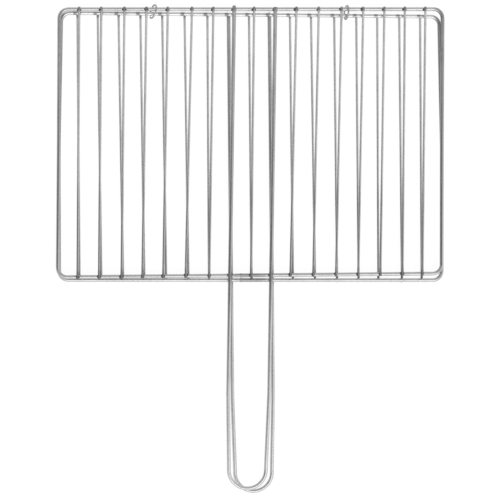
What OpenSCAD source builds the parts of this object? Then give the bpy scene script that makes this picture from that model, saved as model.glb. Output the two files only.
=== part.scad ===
// Hinged double wire grill grate, closed and lying flat with its handles towards -Y.
// Two flat wire grates are held together at the far edge by two open wire rings.
// Millimetres. +Z is up, +Y points to the hinge, and the origin is the middle of the floor under the part.

/* [Grate] */
// Outside width of each frame
grate_w = 350; // [320:5:400]
// Outside length of each frame, from the hinge edge to the handle edge
grate_l = 243; // [200:1:300]
// Outside radius of the frame's corners
corner_r = 10; // [8:0.5:12]
// Centre of the side wire to the centre of the nearest bar
bar_margin = 17.4; // [16:0.1:24]

/* [Wires] */
// Diameter of the frame wire
frame_wire_d = 3.5; // [3:0.1:4.5]
// Diameter of the bars
bar_wire_d = 2.2; // [1.6:0.1:2.8]
// Diameter of the handle wire
handle_wire_d = 3.5; // [3:0.1:4.5]
// Diameter of the ring wire
ring_wire_d = 1.5; // [1.2:0.1:2]
// Depth that a bar or leg sinks into the frame wire at its weld
weld_sink = 0.3; // [0.1:0.05:0.5]

/* [Handle] */
// Near edge of the frame to the outside of the handle's bend
handle_reach = 192; // [120:0.5:240]
// Distance between the centres of the two legs
handle_w = 37; // [35:0.5:42]
// The same distance at the bend that is held
handle_end_w = 33.5; // [28:0.5:34]
// Length over which the legs draw together
taper_l = 65; // [50:5:90]
// How far one leg of each handle stands past the hinge edge
leg_tip = 1; // [0.2:0.1:1.2]

/* [Hinge] */
// How far the upper half sits back from the lower half
half_offset = 4.4; // [3.4:0.1:5]
// Gap between the two frame wires when closed
frame_gap = 0.3; // [0.3:0.05:0.8]
// Least room between a ring and the wires in it
ring_play = 0.35; // [0.25:0.05:0.6]
// Open part of each ring, in degrees
ring_gap = 30; // [15:5:50]
// Lean of the left ring from upright, in degrees
left_ring_lean = 25; // [0:1:28]
// Turn of the left ring seen from above, in degrees
left_ring_yaw = 15; // [0:1:16]
// Lean of the right ring from upright, in degrees
right_ring_lean = 12; // [0:1:14]
// Turn of the right ring seen from above, in degrees
right_ring_yaw = 5; // [0:1:8]

/* [Hand-made unevenness] */
// Turn of the lower half against the upper one, in degrees
lower_turn = -0.6; // [-0.7:0.05:0.1]
// Sideways place of the lower half
lower_slip = 1.9; // [-2:0.1:2]
// How far the upper frame is racked, its hinge edge to the right
upper_rack = 3.6; // [-1:0.1:5]
// How far the lower frame is racked
lower_rack = 1.6; // [-1:0.1:5]
// How far the upper frame's right side draws in at the hinge edge
upper_draw = 1.3; // [0:0.1:5]
// How far the lower frame's right side draws in at the hinge edge
lower_draw = 4.6; // [0:0.1:5]
// How far the upper frame's sides bow outwards in their middle
upper_bow = -0.2; // [-1:0.1:1.5]
// How far the lower frame's sides bow outwards
lower_bow = 1.2; // [-1:0.1:1.5]
// Lean of the upper half's bars and handle, far end to the right, in degrees
upper_skew = 1.4; // [-1:0.05:1.5]
// Lean of the lower half's bars and handle, in degrees
lower_skew = -0.7; // [-1.2:0.05:1]
// Sideways place of the upper half's handle at its near edge
upper_shift = -0.7; // [-2:0.1:1.5]
// Sideways place of the lower half's handle at its near edge
lower_shift = 0.1; // [-1.5:0.1:1.5]
// One step in the lists of how far single bars were welded off their lines, 0 for even bars
stray_l = 1; // [0:0.1:1.2]

/* [Hidden] */
upper = 0;
lower = 1;
halves = ["upper", "lower"];
bar_total = 15;
function two_digits(n) = n < 10 ? str("0", n) : str(n);
function bar_name(half, n) = str(halves[half], "_bar_", two_digits(n));
function half_nodes(half) = concat(
    [str(halves[half], "_frame"), str(halves[half], "_handle")],
    [for (n = [1:bar_total]) bar_name(half, n)]
);

wire_fn = 32;
path_fn = 96;
steel = [0.78, 0.79, 0.80];
bright_steel = [0.84, 0.85, 0.86];
ring_steel = [0.70, 0.71, 0.72];

// Lines across the grate are numbered from the middle. The handle's legs take lines -1 and 1.
lines_a_side = 8;
ring_line = 4.5;
// Steps that each bar was welded off its line, from left to right, at the hinge edge and at the handle edge
far_set = [
    [-1, -1, 0, 0, -0.5, 1.5, 1, -0.5, -0.5, 0, 1, 1, 0.5, -0.5, -1.5],
    [1.5, 0, -1, -1, -1, -0.5, 0.5, 0, -1, -1.5, 0, 0.5, 0, 0.5, 0]
];
near_set = [
    [1, 0.5, 1, 0, -1, -0.5, 1, 0.5, -2, -1, 0, 0.5, 1, 1.5, 0],
    [0.5, 0.5, 0.5, 0, 0, 0.5, -0.5, 0, -0.5, 0, 0.5, 0.5, -1, 1, -0.5]
];

frame_r = frame_wire_d / 2;
bar_r = bar_wire_d / 2;
handle_r = handle_wire_d / 2;
frame_half_w = grate_w / 2 - frame_r;
frame_run_l = grate_l - frame_wire_d;
bend_r = corner_r - frame_r;
leg_x = handle_w / 2;
line_pitch = (frame_half_w - bar_margin - leg_x) / (lines_a_side - 1);
turn = [0, lower_turn];
slip = [0, lower_slip];
rack = [upper_rack, lower_rack];
draw = [upper_draw, lower_draw];
bow = [upper_bow, lower_bow];
skew = [upper_skew, lower_skew];
shift = [upper_shift, lower_shift];
outward = [1, -1];

// Levels, from the floor up: lower legs, lower frame, upper frame, upper legs
frame_z = [
    handle_wire_d - weld_sink + frame_r + frame_wire_d + frame_gap,
    handle_wire_d - weld_sink + frame_r
];
function bar_z(half) = frame_z[half] + outward[half] * (frame_r + bar_r - weld_sink);
function leg_z(half) = frame_z[half] + outward[half] * (frame_r + handle_r - weld_sink);

// The hinge: both far wires pass through each ring
ring_x = leg_x + (ring_line - 1) * line_pitch;
widest_offset = half_offset + (ring_x + abs(lower_slip)) * tan(abs(lower_turn));
wire_spacing = norm([widest_offset, frame_z[upper] - frame_z[lower]]);
ring_mid_r = wire_spacing / 2 + frame_r + ring_play + ring_wire_d / 2;
ring_out_r = ring_mid_r + ring_wire_d / 2;
gap_side = 230;

// The butt weld of each frame lies on its near side, between the left leg and the middle bar
seam_x = -leg_x / 2;
seam_gap = 0.6;
bead_rise = 0.5;
// A slight knee in a wire is a bead that just covers the two ends
knee_cover = 0.04;
knee_trim = 0.1;
// Straight wire beside each bend, before a knee
bend_run = 3;

// The whole part is centred on X = 0 and Y = 0
centre_x = (upper_draw - upper_rack) / 2;
part_l = half_offset / 2 + ring_out_r - frame_r + grate_l + handle_reach;
hinge_y = part_l / 2 - half_offset / 2 - ring_out_r;

function side_of(k) = k < 0 ? -1 : 1;
function line_x(k) = k == 0 ? 0 : side_of(k) * (leg_x + (abs(k) - 1) * line_pitch);
// Bars fill the lines that the two legs leave free
bar_lines = [for (k = [-lines_a_side:lines_a_side]) if (abs(k) != 1) k];

// Each half is drawn about the middle of its frame before racking. Its hinge and handle edges lie along X there.
edge_y = frame_run_l / 2;
function middle(half) = [centre_x + slip[half], hinge_y - edge_y + (half == upper ? half_offset : 0), 0];
function near_x(half, n) = line_x(bar_lines[n - 1]) + shift[half] + stray_l * near_set[half][n - 1];
function far_x(half, n) = line_x(bar_lines[n - 1]) + shift[half] + frame_run_l * tan(skew[half])
    + stray_l * far_set[half][n - 1];
// Y of a far wire's centre at a given X of the whole part
function far_wire_y(half, x) = middle(half).y + edge_y / cos(turn[half])
    + (x - middle(half).x) * tan(turn[half]);

module in_place(half) {
    translate(middle(half)) rotate([0, 0, turn[half]]) children();
}

// Wires are drawn piece by piece. Each piece starts along +X, and its children start at its end.
module run(length, d) {
    rotate([0, 90, 0]) cylinder(h = length, d = d, $fn = wire_fn);
    translate([length, 0, 0]) children();
}

// A bend to the left
module bend(angle, r, d) {
    translate([0, r, 0]) {
        rotate([0, 0, -90])
            rotate_extrude(angle = angle, $fn = path_fn)
                translate([r, 0]) circle(d = d, $fn = wire_fn);
        rotate([0, 0, angle]) translate([0, -r, 0]) children();
    }
}

// A bead of metal in the wire, with its poles along the wire
module bead(d) {
    rotate([0, 90, 0]) sphere(d = d, $fn = wire_fn);
}

// A slight knee, to the left where the angle is positive
module knee(angle, d) {
    translate([knee_trim, 0, 0]) {
        bead(d + knee_cover);
        rotate([0, 0, angle]) translate([knee_trim, 0, 0]) children();
    }
}

// A run that shifts to the left by some amount in all and bows to the right in its middle
module bowed_run(length, amount, bow_out, d) {
    half_l = length / 2 - bend_run;
    first = atan((amount / 2 - bow_out) / half_l);
    second = atan((amount / 2 + bow_out) / half_l);
    run(bend_run - knee_trim, d)
        knee(first, d)
            run(half_l / cos(first) - 2 * knee_trim, d)
                knee(second - first, d)
                    run(half_l / cos(second) - 2 * knee_trim, d)
                        knee(-second, d)
                            run(bend_run - knee_trim, d) children();
}

// The frame's far and near wires, which cut the weld seats in what crosses them
module seat_rods(half) {
    for (y = [edge_y, -edge_y])
        translate([-frame_half_w, y, frame_z[half]]) run(2 * frame_half_w, frame_wire_d);
}

// One wire bent to a closed rectangle. Its ends meet in a butt weld on the near side.
module frame(half) {
    side_l = frame_run_l - 2 * bend_r;
    across_l = 2 * (frame_half_w - bend_r) - draw[half];
    near_right_l = frame_half_w - bend_r - seam_x - seam_gap / 2;
    near_left_l = frame_half_w - bend_r + seam_x - seam_gap / 2;
    color(bright_steel)
        in_place(half) {
            translate([seam_x + seam_gap / 2, -edge_y, frame_z[half]])
                run(near_right_l, frame_wire_d)
                    bend(90, bend_r, frame_wire_d)
                        bowed_run(side_l, draw[half] - rack[half], bow[half], frame_wire_d)
                            bend(90, bend_r, frame_wire_d)
                                run(across_l, frame_wire_d)
                                    bend(90, bend_r, frame_wire_d)
                                        bowed_run(side_l, -rack[half], bow[half], frame_wire_d)
                                            bend(90, bend_r, frame_wire_d)
                                                run(near_left_l, frame_wire_d);
            translate([seam_x, -edge_y, frame_z[half]]) bead(frame_wire_d + bead_rise);
        }
}

module bar(half, n) {
    end_y = edge_y + frame_r;
    step = [far_x(half, n) - near_x(half, n), 2 * end_y];
    color(steel)
        in_place(half)
            difference() {
                translate([near_x(half, n), -end_y, bar_z(half)])
                    rotate([0, 0, atan2(step.y, step.x)]) run(norm(step), bar_wire_d);
                seat_rods(half);
            }
}

// A U of one wire, drawn about its own middle line from the near wire's centre.
// The left leg of the upper half and the right leg of the lower half stand past the hinge edge.
module handle(half) {
    start_x = handle_end_w / 2;
    start_y = start_x + handle_r - frame_r - handle_reach;
    color(bright_steel)
        in_place(half)
            difference() {
                translate([shift[half], -edge_y, leg_z(half)])
                    rotate([0, 0, -skew[half]]) {
                        translate([-start_x, start_y, 0])
                            rotate([0, 0, -90]) bend(180, start_x, handle_wire_d);
                        for (side = [-1, 1])
                            mirror([side < 0 ? 1 : 0, 0, 0])
                                translate([start_x, start_y, 0])
                                    rotate([0, 0, 90]) leg(start_y, side != outward[half]);
                    }
                seat_rods(half);
            }
}

// One leg, drawn along +X from the bend. A long leg has a round tip past the hinge edge.
module leg(start_y, long) {
    draw_in = (handle_w - handle_end_w) / 2;
    angle = atan(draw_in / taper_l);
    straight_l = frame_run_l + frame_r - start_y - bend_run - taper_l - knee_trim;
    run(bend_run - knee_trim, handle_wire_d)
        knee(-angle, handle_wire_d)
            run(taper_l / cos(angle) - 2 * knee_trim, handle_wire_d)
                knee(angle, handle_wire_d)
                    if (long)
                        run(straight_l + leg_tip - handle_r, handle_wire_d)
                            bead(handle_wire_d);
                    else
                        run(straight_l, handle_wire_d);
}

// An open ring round both far wires. Side is -1 for the left ring and 1 for the right one.
module ring(side, lean, yaw) {
    x = side * ring_x;
    y = (far_wire_y(upper, x) + far_wire_y(lower, x)) / 2;
    z = (frame_z[upper] + frame_z[lower]) / 2;
    color(ring_steel)
        translate([x, y, z])
            rotate([0, lean, -yaw])
                rotate([90, 0, 90])
                    rotate([0, 0, gap_side + ring_gap / 2])
                        rotate_extrude(angle = 360 - ring_gap, $fn = path_fn)
                            translate([ring_mid_r, 0]) circle(d = ring_wire_d, $fn = wire_fn);
}

frame(upper);  // upper_frame
handle(upper);  // upper_handle
for (n = [1:bar_total])
    bar(upper, n);
frame(lower);  // lower_frame
handle(lower);  // lower_handle
for (n = [1:bar_total])
    bar(lower, n);
ring(-1, left_ring_lean, left_ring_yaw);  // left_ring
ring(1, right_ring_lean, right_ring_yaw);  // right_ring
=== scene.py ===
import math
import random

import bmesh
import bpy
from mathutils import Matrix, Vector


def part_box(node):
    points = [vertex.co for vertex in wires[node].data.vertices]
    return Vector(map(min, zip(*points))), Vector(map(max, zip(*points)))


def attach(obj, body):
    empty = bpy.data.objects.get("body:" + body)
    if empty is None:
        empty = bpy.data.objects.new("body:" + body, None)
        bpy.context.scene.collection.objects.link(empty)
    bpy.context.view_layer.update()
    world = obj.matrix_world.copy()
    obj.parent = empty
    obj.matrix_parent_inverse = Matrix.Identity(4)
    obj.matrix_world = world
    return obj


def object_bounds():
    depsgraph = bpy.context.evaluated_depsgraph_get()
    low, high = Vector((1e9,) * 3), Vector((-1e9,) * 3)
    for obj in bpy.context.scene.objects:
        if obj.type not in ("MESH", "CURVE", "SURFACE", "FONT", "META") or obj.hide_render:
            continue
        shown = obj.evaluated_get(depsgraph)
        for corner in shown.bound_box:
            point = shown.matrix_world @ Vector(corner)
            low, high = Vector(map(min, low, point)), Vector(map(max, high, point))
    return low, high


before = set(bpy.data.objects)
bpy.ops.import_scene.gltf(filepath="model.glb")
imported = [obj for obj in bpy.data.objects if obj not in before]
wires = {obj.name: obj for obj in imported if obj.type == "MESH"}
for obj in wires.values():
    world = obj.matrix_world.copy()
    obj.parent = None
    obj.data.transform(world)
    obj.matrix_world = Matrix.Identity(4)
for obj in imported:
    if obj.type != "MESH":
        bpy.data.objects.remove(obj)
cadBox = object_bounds()
halves = ("upper", "lower")
print("Frame loaded:", len(wires), "wires")

scene = bpy.context.scene
scene.view_settings.view_transform = "Standard"


# Where things are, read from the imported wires

grateValues = {
    "bars": 15,                    # bars on each half
    "frameRadius": 0.00175,        # frame wire
    "barRadius": 0.0011,
    "legRadius": 0.00175,
    "weldSink": 0.0003,            # how deep a bar sits in the frame wire
    "endDepth": 0.0003,            # a bar's points this close to its end are on the cut face
    "seatReach": 0.0014,           # a leg's points this close to a cross wire are in its seat
    "bends": (0.012, 0.006),       # cross wires become side wires between these depths from a side
    "outward": {"upper": 1, "lower": -1},  # the way up or down in which bars stand on a frame
}


def barNames(half):
    return [f"{half}_bar_{n:02d}" for n in range(1, grateValues["bars"] + 1)]


def meanPoint(points):
    return sum(points, Vector()) / len(points)


def barEnd(name, far):
    # Middle of the cut face at the hinge edge (far) or at the handle edge
    low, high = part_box(name)
    edge = high.y if far else low.y
    rim = [v.co for v in wires[name].data.vertices if abs(v.co.y - edge) < grateValues["endDepth"]]
    return meanPoint(rim)


def edgeWireY(half, x, far):
    # The frame's cross wire is straight, so its first and last bar give its place at any x
    names = barNames(half)
    first, last = barEnd(names[0], far), barEnd(names[-1], far)
    share = (x - first.x) / (last.x - first.x)
    inward = -grateValues["frameRadius"] if far else grateValues["frameRadius"]
    return first.y + share * (last.y - first.y) + inward


def legX(half, side, far):
    # The weld seat is cut where the leg crosses the wire, so its points give the crossing
    low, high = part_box(f"{half}_handle")
    middle = (low.x + high.x) / 2
    wireY = edgeWireY(half, middle, far)
    seat = [v.co for v in wires[f"{half}_handle"].data.vertices
            if abs(v.co.y - wireY) < grateValues["seatReach"] and (v.co.x - middle) * side > 0]
    return meanPoint(seat).x


def frameLevel(half):
    low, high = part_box(f"{half}_frame")
    return (low.z + high.z) / 2


def crossings(half, far):
    # For each bar, then each leg: the point where it rests on the cross wire, and its radius
    rise = grateValues["frameRadius"] - grateValues["weldSink"] / 2
    contactZ = frameLevel(half) + grateValues["outward"][half] * rise
    places = [(barEnd(name, far).x, grateValues["barRadius"]) for name in barNames(half)]
    places += [(legX(half, side, far), grateValues["legRadius"]) for side in (-1, 1)]
    return [(Vector((x, edgeWireY(half, x, far), contactZ)), radius) for x, radius in places]


# Shader helpers

def newGroup(name, inputs, outputs):
    tree = bpy.data.node_groups.new(name, "ShaderNodeTree")
    for label, kind, value in inputs:
        socket = tree.interface.new_socket(
            name=label, in_out="INPUT", socket_type="NodeSocket" + kind)
        if value is not None:
            socket.default_value = value
    for label, kind in outputs:
        tree.interface.new_socket(name=label, in_out="OUTPUT", socket_type="NodeSocket" + kind)
    given = tree.nodes.new("NodeGroupInput").outputs
    made = tree.nodes.new("NodeGroupOutput").inputs
    return tree, given, made


def fill(tree, socket, value):
    # A value is another node's output, or a number or colour
    if isinstance(value, bpy.types.NodeSocket):
        tree.links.new(value, socket)
    else:
        socket.default_value = value


def axes(tree, vector):
    apart = tree.nodes.new("ShaderNodeSeparateXYZ")
    tree.links.new(vector, apart.inputs[0])
    return apart.outputs


def noiseNode(tree, vector, scale, detail=3.0, roughness=0.55):
    noise = tree.nodes.new("ShaderNodeTexNoise")
    noise.inputs["Scale"].default_value = scale
    noise.inputs["Detail"].default_value = detail
    noise.inputs["Roughness"].default_value = roughness
    tree.links.new(vector, noise.inputs["Vector"])
    return noise.outputs["Fac"]


def stretched(tree, vector, scale):
    mapping = tree.nodes.new("ShaderNodeMapping")
    mapping.inputs["Scale"].default_value = scale
    tree.links.new(vector, mapping.inputs["Vector"])
    return mapping.outputs["Vector"]


def ranged(tree, value, low, high, toLow=0.0, toHigh=1.0):
    node = tree.nodes.new("ShaderNodeMapRange")
    node.interpolation_type = "SMOOTHSTEP"
    limits = {"From Min": low, "From Max": high, "To Min": toLow, "To Max": toHigh}
    for label, number in limits.items():
        node.inputs[label].default_value = number
    tree.links.new(value, node.inputs["Value"])
    return node.outputs["Result"]


def maths(tree, operation, *values):
    node = tree.nodes.new("ShaderNodeMath")
    node.operation = operation
    for socket, value in zip(node.inputs, values):
        fill(tree, socket, value)
    return node.outputs[0]


def mixed(tree, kind, factor, first, second):
    # kind is RGBA or FLOAT, and each has its own pins on the Mix node
    node = tree.nodes.new("ShaderNodeMix")
    node.data_type = kind
    pins = {"RGBA": (0, 6, 7, 2), "FLOAT": (0, 2, 3, 0)}[kind]
    for pin, value in zip(pins, (factor, first, second)):
        fill(tree, node.inputs[pin], value)
    return node.outputs[pins[3]]


def bumped(tree, height, depth):
    bump = tree.nodes.new("ShaderNodeBump")
    bump.inputs["Strength"].default_value = 1.0
    bump.inputs["Distance"].default_value = depth
    tree.links.new(height, bump.inputs["Height"])
    return bump.outputs["Normal"]


def distanceFrom(tree, value, middle, reach):
    # How far a coordinate is from a middle, in units of a reach
    apart = maths(tree, "ABSOLUTE", maths(tree, "SUBTRACT", value, middle))
    return maths(tree, "DIVIDE", apart, reach)


def unevenMask(tree, place, distance, edge):
    # 1 near by and 0 far off, with an uneven soft edge
    uneven = maths(tree, "ADD", distance, noiseNode(tree, place, edge["noiseScale"]))
    return ranged(tree, uneven, *edge["fade"], 1.0, 0.0)


def noisePatches(tree, place, values):
    # From 0 to the values' share, by where the noise lies in their range
    noise = noiseNode(tree, place, values["scale"], values["detail"])
    return ranged(tree, noise, *values["range"], 0.0, values["share"])


def placed(tree, group, place, values):
    # Puts a shared effect into a material with the material's own values
    node = tree.nodes.new("ShaderNodeGroup")
    node.node_tree = group
    for label, value in {"Coordinates": place, **values}.items():
        fill(tree, node.inputs[label], value)
    return node.outputs


def grey(level):
    return (level, level, level, 1)


# Shared effects

effectValues = {
    "lines": {"alongScale": 30, "acrossScale": 3200, "detail": 2.0},
    "clouds": {"scale": 38, "detail": 4.0, "range": (0.38, 0.68), "share": 0.6},
    "patches": {"scale": 260, "detail": 3.0, "range": (0.42, 0.7), "share": 0.4},
    "specks": {"scale": 1500, "detail": 2.0, "range": (0.66, 0.74), "share": 1.0},
    "heatEdge": {"noiseScale": 260, "fade": (0.45, 1.35)},
    "paintedReflectionEdge": {"noiseScale": 420, "fade": (0.9, 1.7)},
    "paintedReflectionDepth": 0.0008,           # the painted reflections begin this far inwards from the wire's middle
    "nearDarkPatchEdge": {"noiseScale": 190, "fade": (0.95, 1.45)},
    "paintedStretchNoiseScale": 30,
}


def drawnLinesGroup():
    # Fine lines along the wire from the drawing die, for wires along X or along Y
    tree, given, made = newGroup(
        "drawnLines",
        [("Coordinates", "Vector", None), ("Along X", "Float", 0.0)],
        [("Height", "Float")],
    )
    lines = effectValues["lines"]
    along, across = lines["alongScale"], lines["acrossScale"]
    stretchedX = stretched(tree, given["Coordinates"], (along, across, across))
    stretchedY = stretched(tree, given["Coordinates"], (across, along, across))
    linesX = noiseNode(tree, stretchedX, 1.0, lines["detail"])
    linesY = noiseNode(tree, stretchedY, 1.0, lines["detail"])
    tree.links.new(mixed(tree, "FLOAT", given["Along X"], linesY, linesX), made["Height"])
    return tree


def platingGroup():
    # Cloudy plating, dull patches from handling and heat, and small dark specks
    tree, given, made = newGroup(
        "plating",
        [
            ("Coordinates", "Vector", None),
            ("Bright", "Color", grey(0.7)),
            ("Dull", "Color", grey(0.4)),
            ("Speck", "Color", grey(0.1)),
            ("Dulling", "Float", 0.5),
            ("Specks", "Float", 0.5),
        ],
        [("Colour", "Color"), ("Wear", "Float")],
    )
    clouds = noisePatches(tree, given["Coordinates"], effectValues["clouds"])
    patches = noisePatches(tree, given["Coordinates"], effectValues["patches"])
    specks = noisePatches(tree, given["Coordinates"], effectValues["specks"])
    wear = maths(tree, "MULTIPLY", maths(tree, "ADD", clouds, patches), given["Dulling"])
    specks = maths(tree, "MULTIPLY", specks, given["Specks"])
    colour = mixed(tree, "RGBA", wear, given["Bright"], given["Dull"])
    colour = mixed(tree, "RGBA", specks, colour, given["Speck"])
    tree.links.new(colour, made["Colour"])
    tree.links.new(maths(tree, "MAXIMUM", wear, specks), made["Wear"])
    return tree


def weldHeatGroup():
    # Dark heat marks in the two rows where bars and legs are welded to the frame
    tree, given, made = newGroup(
        "weldHeat",
        [
            ("Coordinates", "Vector", None),
            ("Far Row", "Float", 0.2),
            ("Near Row", "Float", 0.0),
            ("Far Reach", "Float", 0.005),
            ("Near Reach", "Float", 0.011),
        ],
        [("Mask", "Float")],
    )
    at = axes(tree, given["Coordinates"])
    toFar = distanceFrom(tree, at["Y"], given["Far Row"], given["Far Reach"])
    toNear = distanceFrom(tree, at["Y"], given["Near Row"], given["Near Reach"])
    nearest = maths(tree, "MINIMUM", toFar, toNear)
    mask = unevenMask(tree, given["Coordinates"], nearest, effectValues["heatEdge"])
    tree.links.new(mask, made["Mask"])
    return tree


def paintedWeldReflectionsGroup(half):
    # Painted reflections: dark marks on the inner side of the far cross wire, opposite its welds
    tree, given, made = newGroup(
        f"{half}PaintedWeldReflections",
        [
            ("Coordinates", "Vector", None),
            ("Drift", "Float", -0.0019),
            ("Half Length", "Float", 0.0021),
            ("Row Reach", "Float", 0.003),
        ],
        [("Mask", "Float")],
    )
    at = axes(tree, given["Coordinates"])
    drifted = maths(tree, "SUBTRACT", at["X"], given["Drift"])
    welds = [place for place, radius in crossings(half, True)]
    nearest = distanceFrom(tree, drifted, welds[0].x, given["Half Length"])
    for weld in welds[1:]:
        beside = distanceFrom(tree, drifted, weld.x, given["Half Length"])
        nearest = maths(tree, "MINIMUM", nearest, beside)
    across = distanceFrom(tree, at["Y"], meanPoint(welds).y, given["Row Reach"])
    distance = maths(tree, "MAXIMUM", nearest, across)
    paintedReflection = unevenMask(tree, given["Coordinates"], distance, effectValues["paintedReflectionEdge"])
    level = frameLevel(half)
    innerSide = level - grateValues["outward"][half] * effectValues["paintedReflectionDepth"]
    inner = ranged(tree, at["Z"], level, innerSide)
    tree.links.new(maths(tree, "MULTIPLY", paintedReflection, inner), made["Mask"])
    return tree


def nearDarkPatchGroup():
    # A dark patch on the near wires, between the two legs of the handle
    tree, given, made = newGroup(
        "nearDarkPatch",
        [
            ("Coordinates", "Vector", None),
            ("Middle", "Float", 0.0),
            ("Half Width", "Float", 0.018),
            ("Near Row", "Float", 0.0),
            ("Reach", "Float", 0.006),
        ],
        [("Mask", "Float")],
    )
    at = axes(tree, given["Coordinates"])
    across = distanceFrom(tree, at["X"], given["Middle"], given["Half Width"])
    along = distanceFrom(tree, at["Y"], given["Near Row"], given["Reach"])
    distance = maths(tree, "MAXIMUM", across, along)
    mask = unevenMask(tree, given["Coordinates"], distance, effectValues["nearDarkPatchEdge"])
    tree.links.new(mask, made["Mask"])
    return tree


def paintedShadeStretchGroup():
    # Painted reflection shade: the plating darker over a stretch of the grate, with soft uneven
    # edges
    tree, given, made = newGroup(
        "paintedShadeStretch",
        [
            ("Coordinates", "Vector", None),
            ("Near Edge", "Float", 0.0),
            ("Far Edge", "Float", 0.2),
            ("Softness", "Float", 0.03),
        ],
        [("Mask", "Float")],
    )
    at = axes(tree, given["Coordinates"])
    fromNear = maths(tree, "SUBTRACT", at["Y"], given["Near Edge"])
    fromFar = maths(tree, "SUBTRACT", given["Far Edge"], at["Y"])
    depth = maths(tree, "DIVIDE", maths(tree, "MINIMUM", fromNear, fromFar), given["Softness"])
    noise = noiseNode(tree, given["Coordinates"], effectValues["paintedStretchNoiseScale"])
    uneven = maths(tree, "ADD", depth, maths(tree, "SUBTRACT", noise, 0.5))
    tree.links.new(ranged(tree, uneven, -0.5, 0.5), made["Mask"])
    return tree


drawnLines = drawnLinesGroup()
plating = platingGroup()
weldHeat = weldHeatGroup()
nearDarkPatch = nearDarkPatchGroup()
paintedShadeStretch = paintedShadeStretchGroup()


# Finishes

frameFinish = {
    "bright": grey(0.58),
    "dull": grey(0.40),
    "dulling": 0.55,
    "specks": 0.5,
    "heat": grey(0.13),          # colour of heat marks, the near dark patch, and the painted shade and reflections
    "heatShare": 0.0,            # rows of weld heat, on bars and handles only
    "paintedReflectionShare": 0.75,           # painted reflections opposite the far welds
    "nearDarkPatchShare": 0.5,
    "paintedStretchShare": 0.0,
    "paintedStretchFrom": -0.03,           # near and far edge of the painted shade, measured from the near wire
    "paintedStretchTo": 0.14,
    "paintedCrossShade": (0.95, 1.0),   # painted shade: how bright the near and the far cross wire look
    "paintedSideShade": (0.92, 0.7),    # and a side wire at its near and its far end
    "paintedSideShadeReach": 0.7,       # share of its length at which it is as dark as at the far end
    "paintedRightShade": 0.9,           # painted shade: the right side wire is darker than the left
    "paintedRightShadeFrom": (0.1, 0.15),    # between these distances to the right of the middle
    "roughness": (0.16, 0.4),    # where bright, and where worn or burnt
    "lineDepth": 0.000004,       # of the lines from drawing the wire
    "metallic": 1.0,
}
lowerFrameFinish = dict(frameFinish, paintedCrossShade=(0.98, 1.2))  # painted reflection: lighter, most at the far wire
# The handles and bars get painted reflection shade over a stretch of the grate
handleFinish = dict(
    frameFinish, bright=grey(0.56), dull=grey(0.42), heatShare=0.55,
    paintedStretchShare=0.25, paintedStretchTo=0.4)
barFinish = dict(
    frameFinish, bright=grey(0.62), heatShare=0.8,
    paintedStretchShare=0.3, paintedStretchTo=0.08, roughness=(0.18, 0.42))
ringFinish = dict(
    frameFinish, bright=grey(0.48), dull=grey(0.30), dulling=0.8, roughness=(0.34, 0.55))
# Weld metal, and dark enough to be painted shade of the crevice beside each bar too
beadAndCreviceShadeFinish = {
    "bright": grey(0.11),
    "dull": grey(0.045),
    "dulling": 0.9,
    "specks": 0.8,
    "roughness": (0.42, 0.7),
    "grainScale": 1800,
    "grainDepth": 0.0002,
    "metallic": 0.9,
}


def newMaterial(name):
    material = bpy.data.materials.new(name)
    material.use_nodes = True
    tree = material.node_tree
    return material, tree, tree.nodes.new("ShaderNodeTexCoord").outputs["Object"]


def platedMetal(tree, place, finish):
    plate = placed(tree, plating, place, {
        "Bright": finish["bright"],
        "Dull": finish["dull"],
        "Dulling": finish["dulling"],
        "Specks": finish["specks"],
    })
    return plate["Colour"], plate["Wear"]


def setShader(tree, finish, colour, wear, normal):
    shader = tree.nodes["Principled BSDF"]
    roughness = ranged(tree, wear, 0, 1, *finish["roughness"])
    tree.links.new(colour, shader.inputs["Base Color"])
    tree.links.new(roughness, shader.inputs["Roughness"])
    tree.links.new(normal, shader.inputs["Normal"])
    shader.inputs["Metallic"].default_value = finish["metallic"]


def heatAndPaintedShade(tree, place, finish, half, crossWires):
    # (mask, how strongly it darkens, whether it roughens the metal too)
    found = []
    nearY, farY = edgeWireY(half, 0, False), edgeWireY(half, 0, True)
    if finish["heatShare"] > 0:
        heat = placed(tree, weldHeat, place, {"Far Row": farY, "Near Row": nearY})
        found.append((heat["Mask"], finish["heatShare"], True))
    if finish["paintedStretchShare"] > 0:
        # painted reflection shade over a stretch of the grate
        edges = {"Near Edge": nearY + finish["paintedStretchFrom"], "Far Edge": nearY + finish["paintedStretchTo"]}
        found.append((placed(tree, paintedShadeStretch, place, edges)["Mask"], finish["paintedStretchShare"], False))
    if crossWires:
        # painted reflections beside the far welds
        paintedReflections = placed(tree, paintedWeldReflectionsGroup(half), place, {})
        found.append((paintedReflections["Mask"], finish["paintedReflectionShare"], True))
        middle = (legX(half, -1, False) + legX(half, 1, False)) / 2
        nearPatchMask = placed(tree, nearDarkPatch, place, {"Middle": middle, "Near Row": nearY})
        found.append((nearPatchMask["Mask"], finish["nearDarkPatchShare"], True))
    return found


def paintedFrameShade(tree, at, alongX, finish, half):
    # Painted reflection shade on the frame: how bright each wire looks, cross wires near and far,
    # side wires left and right
    nearY, farY = edgeWireY(half, 0, False), edgeWireY(half, 0, True)
    farFrom = nearY + finish["paintedSideShadeReach"] * (farY - nearY)
    side = ranged(tree, at["Y"], nearY, farFrom, *finish["paintedSideShade"])
    right = ranged(tree, at["X"], *finish["paintedRightShadeFrom"], 1.0, finish["paintedRightShade"])
    cross = ranged(tree, at["Y"], nearY, farY, *finish["paintedCrossShade"])
    return mixed(tree, "FLOAT", alongX, maths(tree, "MULTIPLY", side, right), cross)


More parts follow.
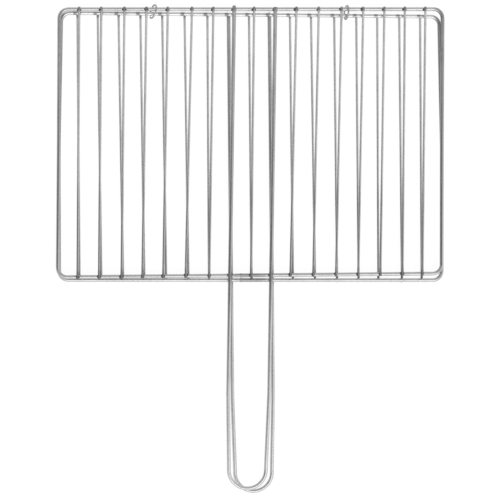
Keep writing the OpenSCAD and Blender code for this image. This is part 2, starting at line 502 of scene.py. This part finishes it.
def wireMaterial(name, finish, half=None, crossWires=False):
    material, tree, place = newMaterial(name)
    colour, wear = platedMetal(tree, place, finish)
    darkenings = heatAndPaintedShade(tree, place, finish, half, crossWires) if half else []
    # weld heat, the near dark patch, and painted shade and reflections darken the colour
    for mask, share, roughens in darkenings:
        dark = maths(tree, "MULTIPLY", mask, share)
        colour = mixed(tree, "RGBA", dark, colour, finish["heat"])
        if roughens:
            wear = maths(tree, "MAXIMUM", wear, dark)

    alongX = 0.0
    if crossWires:
        # A frame's cross wires run along X and its side wires along Y
        at = axes(tree, place)
        inner, outer = (cadBox[1].x - depth for depth in grateValues["bends"])
        alongX = ranged(tree, maths(tree, "ABSOLUTE", at["X"]), inner, outer, 1.0, 0.0)
        # Painted reflection shade: the frame's colour is scaled wire by wire
        shaded = tree.nodes.new("ShaderNodeVectorMath")
        shaded.operation = "SCALE"
        tree.links.new(colour, shaded.inputs[0])
        tree.links.new(paintedFrameShade(tree, at, alongX, finish, half), shaded.inputs["Scale"])
        colour = shaded.outputs[0]
    lines = placed(tree, drawnLines, place, {"Along X": alongX})
    setShader(tree, finish, colour, wear, bumped(tree, lines["Height"], finish["lineDepth"]))
    return material


def beadAndCreviceShadeMaterial():
    material, tree, place = newMaterial("weldMetalAndCreviceShade")
    colour, wear = platedMetal(tree, place, beadAndCreviceShadeFinish)
    grain = noiseNode(tree, place, beadAndCreviceShadeFinish["grainScale"])
    setShader(tree, beadAndCreviceShadeFinish, colour, wear, bumped(tree, grain, beadAndCreviceShadeFinish["grainDepth"]))
    return material


def giveMaterial(name, material):
    for slot in wires[name].material_slots:
        slot.material = material


for half in halves:
    finish = frameFinish if half == "upper" else lowerFrameFinish
    giveMaterial(f"{half}_frame", wireMaterial(f"{half}FrameWire", finish, half, True))
    giveMaterial(f"{half}_handle", wireMaterial(f"{half}HandleWire", handleFinish, half))
    barWire = wireMaterial(f"{half}BarWire", barFinish, half)
    for name in barNames(half):
        giveMaterial(name, barWire)
ringWire = wireMaterial("ringWire", ringFinish)
for name in ("left_ring", "right_ring"):
    giveMaterial(name, ringWire)
weldMetalAndCreviceShade = beadAndCreviceShadeMaterial()
print("Finishes made")


# Weld beads: metal pressed out where each bar or leg was welded to the frame, dark enough to be
# painted shade of the crevice beside it too

beadValues = {
    "alongWire": 0.0008,         # how far a bead shows beside its bar
    "alongBar": 0.0016,
    "height": 0.0008,
    "alongWireSpread": (0.7, 1.3),
    "alongBarSpread": (0.8, 1.25),
    "heightSpread": (0.85, 1.15),
    "unevenness": 0.14,
    "smoothing": 0.3,
    "turnDegrees": 14,           # most that a bead is turned, either way
    "loose": 0.0003,             # most that a bead is off its place, either way
    "shift": {                   # how far a row's beads stand beside their crossings, where they paint the crevice's shade
        "upper": {"near": (0.0, 0.0003, 0), "far": (-0.0005, -0.0006, 0)},
        "lower": {"near": (-0.0008, 0.0, 0), "far": (0.0, 0.0, 0)},
    },
    "seed": {"upper": 4, "lower": 9},
}


def weldBead(bm, place, barRadius, shift, chance):
    made = bmesh.ops.create_icosphere(bm, subdivisions=2, radius=1.0)["verts"]
    for v in made:
        v.co *= 1 + beadValues["unevenness"] * chance.uniform(-1, 1)
    size = (barRadius + beadValues["alongWire"] * chance.uniform(*beadValues["alongWireSpread"]),
            beadValues["alongBar"] * chance.uniform(*beadValues["alongBarSpread"]),
            beadValues["height"] * chance.uniform(*beadValues["heightSpread"]))
    bmesh.ops.scale(bm, vec=size, verts=made)
    most = beadValues["turnDegrees"]
    turn = Matrix.Rotation(math.radians(chance.uniform(-most, most)), 3, "Z")
    bmesh.ops.rotate(bm, cent=(0, 0, 0), matrix=turn, verts=made)
    bmesh.ops.smooth_vert(bm, verts=made, factor=beadValues["smoothing"])
    loose = beadValues["loose"]
    drift = Vector((chance.uniform(-loose, loose), chance.uniform(-loose, loose), 0))
    bmesh.ops.translate(bm, vec=place + Vector(shift) + drift, verts=made)


def finishPiece(bm, name, material, body):
    mesh = bpy.data.meshes.new(name)
    bmesh.ops.recalc_face_normals(bm, faces=bm.faces)
    bm.to_mesh(mesh)
    bm.free()
    mesh.shade_smooth()
    piece = bpy.data.objects.new(name, mesh)
    scene.collection.objects.link(piece)
    mesh.materials.append(material)
    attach(piece, body)


for half in halves:
    chance = random.Random(beadValues["seed"][half])
    bm = bmesh.new()
    for row in ("far", "near"):
        for place, barRadius in crossings(half, row == "far"):
            weldBead(bm, place, barRadius, beadValues["shift"][half][row], chance)
    finishPiece(bm, f"{half}WeldBeads", weldMetalAndCreviceShade, f"{half}_grate")
print("Weld beads made")


# Studio

floorValues = {
    "size": 30.0,
    "colour": grey(0.86),
    "whiteShare": 0.88,          # share of its own white where the camera or the metal sees it
    "whiteLevel": 1.05,          # with the lit paint's share, the open floor is just white
}


def makeFloor():
    bm = bmesh.new()
    bmesh.ops.create_grid(bm, x_segments=1, y_segments=1, size=floorValues["size"] / 2)
    mesh = bpy.data.meshes.new("studioFloor")
    bm.to_mesh(mesh)
    bm.free()
    floor = bpy.data.objects.new("studioFloor", mesh)
    scene.collection.objects.link(floor)

    material = bpy.data.materials.new("paleFloor")
    material.use_nodes = True
    tree = material.node_tree
    tree.nodes.remove(tree.nodes["Principled BSDF"])
    paint = tree.nodes.new("ShaderNodeBsdfDiffuse")
    paint.inputs["Color"].default_value = floorValues["colour"]
    white = tree.nodes.new("ShaderNodeEmission")
    white.inputs["Strength"].default_value = floorValues["whiteLevel"]
    ray = tree.nodes.new("ShaderNodeLightPath").outputs
    seen = maths(tree, "MAXIMUM", ray["Is Camera Ray"], ray["Is Glossy Ray"])
    seen = maths(tree, "MAXIMUM", seen, ray["Is Transmission Ray"])
    both = tree.nodes.new("ShaderNodeMixShader")
    tree.links.new(maths(tree, "MULTIPLY", seen, floorValues["whiteShare"]), both.inputs[0])
    tree.links.new(paint.outputs[0], both.inputs[1])
    tree.links.new(white.outputs[0], both.inputs[2])
    tree.links.new(both.outputs[0], tree.nodes["Material Output"].inputs["Surface"])
    mesh.materials.append(material)


# The sky is a soft dome. Its values are directions from the middle, X right, Y far and Z up
skyValues = {
    "level": 0.92,
    "sideTilt": 0.2,             # brighter to the right
    "nearTilt": 0.3,             # brighter towards the handles
    "boomShade": 0.74,           # the camera's boom darkens a strip from left to right overhead
    "boomTipShade": 0.42,        # less so to the right
    "boomEnd": (0.0, 0.6),       # where it changes from the one to the other
    "boomEdge": (0.08, 0.115),   # soft edge of the strip
    "standShade": 0.08,          # the camera's stand darkens the near side a little
    "standFar": (-0.05, 0.05),
    "standNear": (-0.55, -0.25),
    "wallTop": (0.12, 0.32),     # white all round below this height
}


def dimmed(tree, level, shade):
    return maths(tree, "MULTIPLY", level, maths(tree, "SUBTRACT", 1.0, shade))


def makeSky():
    world = bpy.data.worlds.new("studioWorld")
    scene.world = world
    world.use_nodes = True
    tree = world.node_tree
    towards = axes(tree, tree.nodes.new("ShaderNodeTexCoord").outputs["Generated"])

    toRight = maths(tree, "MULTIPLY", towards["X"], skyValues["sideTilt"])
    toNear = maths(tree, "MULTIPLY", towards["Y"], -skyValues["nearTilt"])
    level = maths(tree, "ADD", skyValues["level"], maths(tree, "ADD", toRight, toNear))

    fromMiddle = maths(tree, "ABSOLUTE", towards["Y"])
    underBoom = ranged(tree, fromMiddle, *skyValues["boomEdge"], 1.0, 0.0)
    alongBoom = ranged(tree, towards["X"], *skyValues["boomEnd"],
                       skyValues["boomShade"], skyValues["boomTipShade"])
    level = dimmed(tree, level, maths(tree, "MULTIPLY", underBoom, alongBoom))

    farSide = ranged(tree, towards["Y"], *skyValues["standFar"], 1.0, 0.0)
    nearSide = ranged(tree, towards["Y"], *skyValues["standNear"])
    stand = maths(tree, "MULTIPLY", farSide, nearSide)
    level = dimmed(tree, level, maths(tree, "MULTIPLY", stand, skyValues["standShade"]))

    lowDown = ranged(tree, towards["Z"], *skyValues["wallTop"], 1.0, 0.0)
    level = mixed(tree, "FLOAT", lowDown, level, 1.0)
    sky = tree.nodes["Background"]
    sky.inputs["Color"].default_value = (1, 1, 1, 1)
    tree.links.new(level, sky.inputs["Strength"])


lampValues = {
    "windowLight": {"place": (0.1, -0.85, 1.45), "size": (1.8, 0.7), "power": 5.0},
    "fillLight": {"place": (1.5, -0.1, 0.9), "size": (0.8, 1.4), "power": 2.0},
}


def softLight(name, values):
    # A soft lamp that points at the middle of the part
    light = bpy.data.lights.new(name, "AREA")
    light.shape = "RECTANGLE"
    light.size, light.size_y = values["size"]
    light.energy = values["power"]
    lamp = bpy.data.objects.new(name, light)
    lamp.location = values["place"]
    lamp.rotation_euler = (-Vector(values["place"])).to_track_quat("-Z", "Y").to_euler()
    scene.collection.objects.link(lamp)


makeFloor()
makeSky()
for name, values in lampValues.items():
    softLight(name, values)
print("Studio made")


# Camera, from above as in the photograph

cameraValues = {
    "place": (-0.0558, 0.0142, 1.1856),
    "turnDegrees": (-0.678, -2.626, -0.475),
    "sensor": 36.0,
    "lens": 94.07,
}
camera = bpy.data.objects.new("photoCamera", bpy.data.cameras.new("photoCamera"))
camera.location = cameraValues["place"]
camera.rotation_euler = [math.radians(angle) for angle in cameraValues["turnDegrees"]]
camera.data.sensor_width = cameraValues["sensor"]
camera.data.lens = cameraValues["lens"]
scene.collection.objects.link(camera)
scene.camera = camera
print("Camera set")
